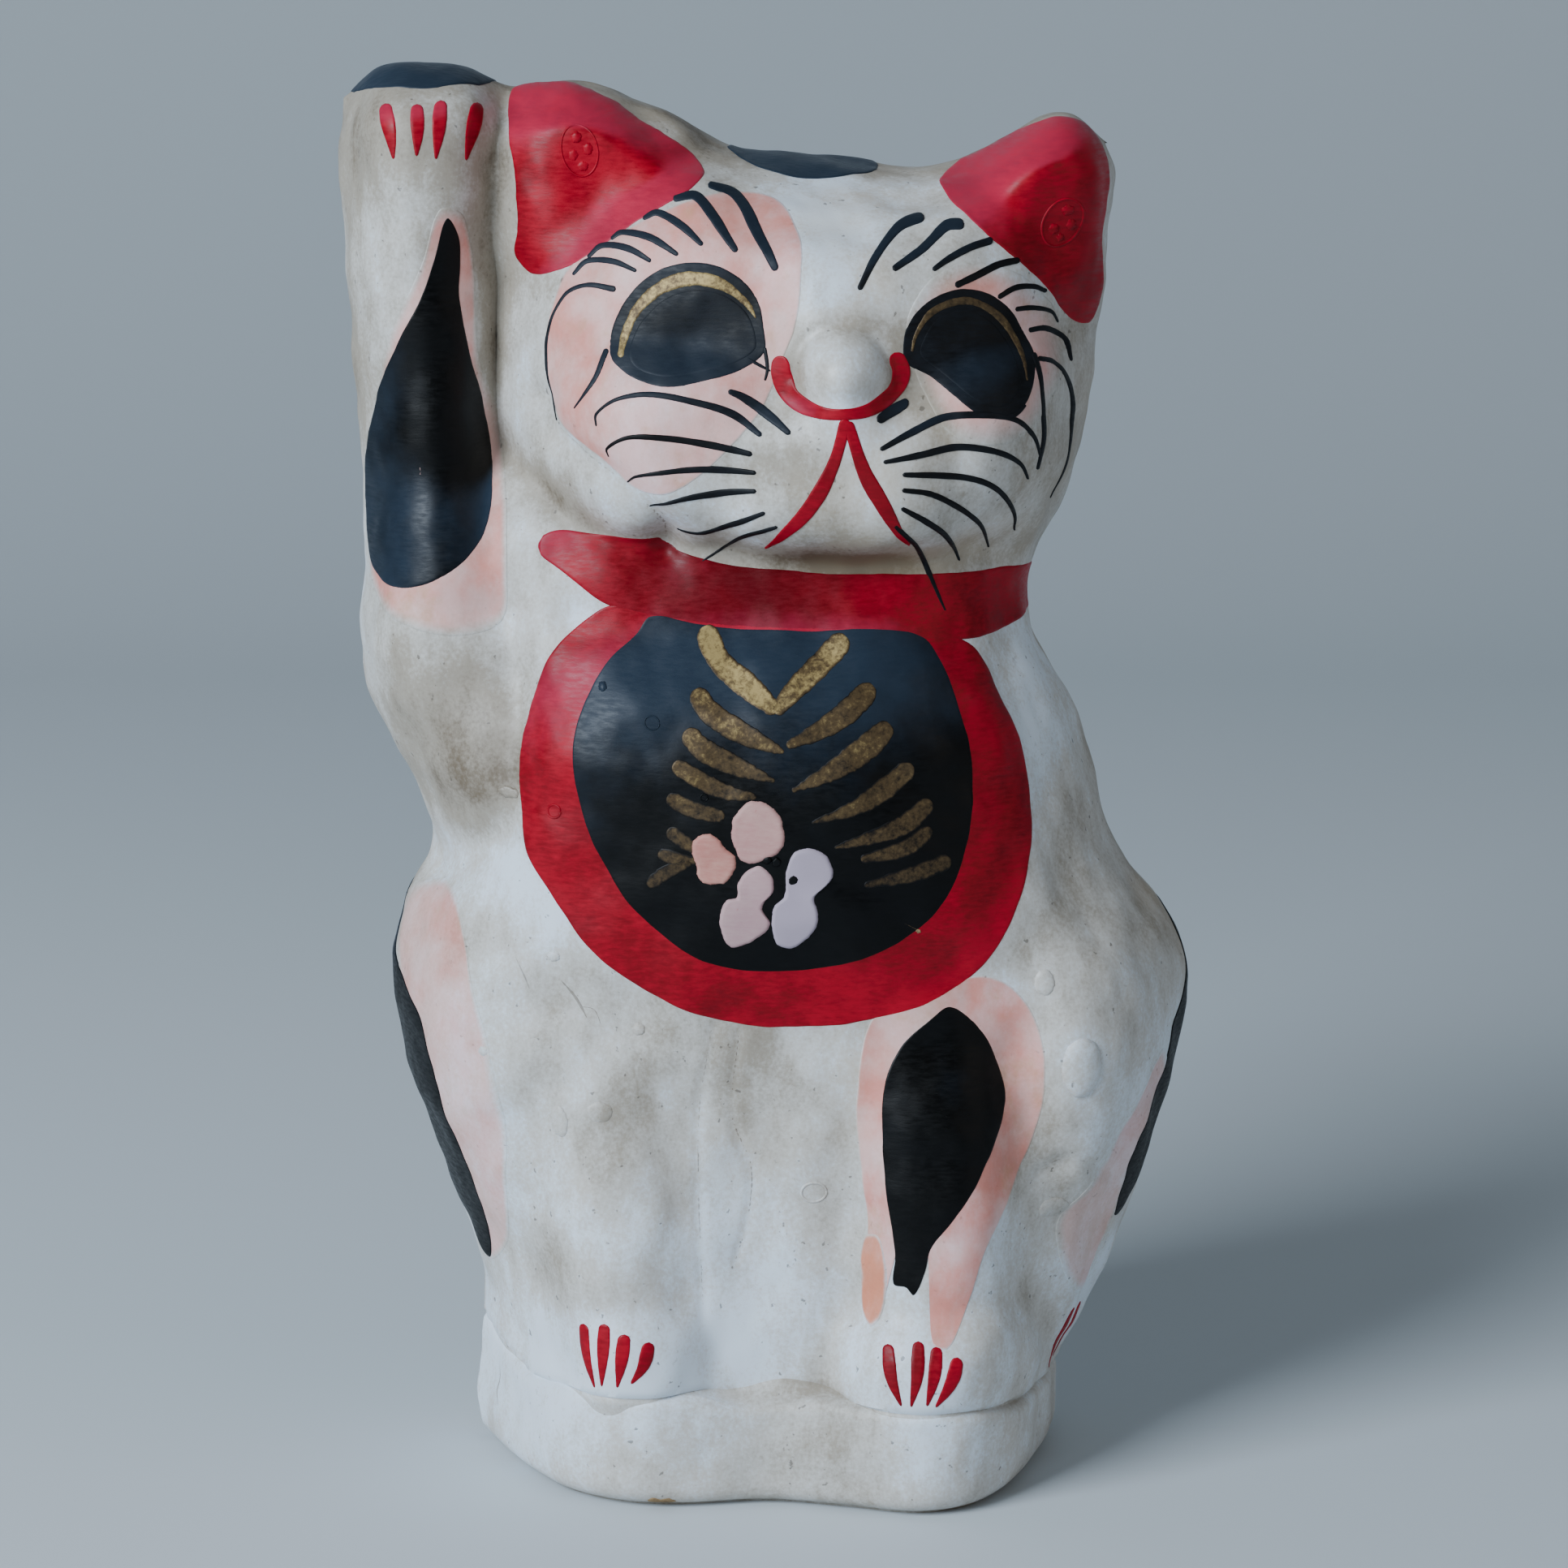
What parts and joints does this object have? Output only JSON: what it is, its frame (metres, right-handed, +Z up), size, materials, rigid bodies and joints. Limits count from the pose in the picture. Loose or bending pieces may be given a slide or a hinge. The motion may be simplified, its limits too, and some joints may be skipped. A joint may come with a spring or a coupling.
{
  "type": "beckoning cat figurine",
  "caption": "Standing papier-mache figure of a sitting cat with one forepaw raised beside its head, painted by hand, on a flat weighted foot.",
  "frame": {"origin": "middle of the foot, on the underside that stands on the shelf", "axes": "+Z up, the face of the cat looks along -Y, and its raised forepaw is on the -X side"},
  "size_m": [0.1437, 0.0897, 0.24],
  "materials": {
    "white_ground": "satin white ground over pasted paper, yellowed and smudged with grey",
    "red_paint": "thin satin crimson brush paint over the white ground",
    "black_paint": "satin black brush paint over the white ground",
    "pink_paint": "thin chalky pink wash and dabs",
    "gold_paint": "worn bronze powder paint, half rubbed off",
    "bare_paper": "bare pasted brown paper, matte",
    "grey_card": "grey pasteboard, matte",
    "raw_clay": "sun-dried unfired clay, matte"
  },
  "bodies": {
    "root": {"front_shell": "white_ground", "back_shell": "white_ground", "plinth_band": "white_ground", "underside_paper": "bare_paper", "base_board": "grey_card", "clay_weight": "raw_clay", "right_seam_tape": "bare_paper", "left_seam_tape": "bare_paper", "crown_seam_tape": "bare_paper"}
  },
  "joints": []
}
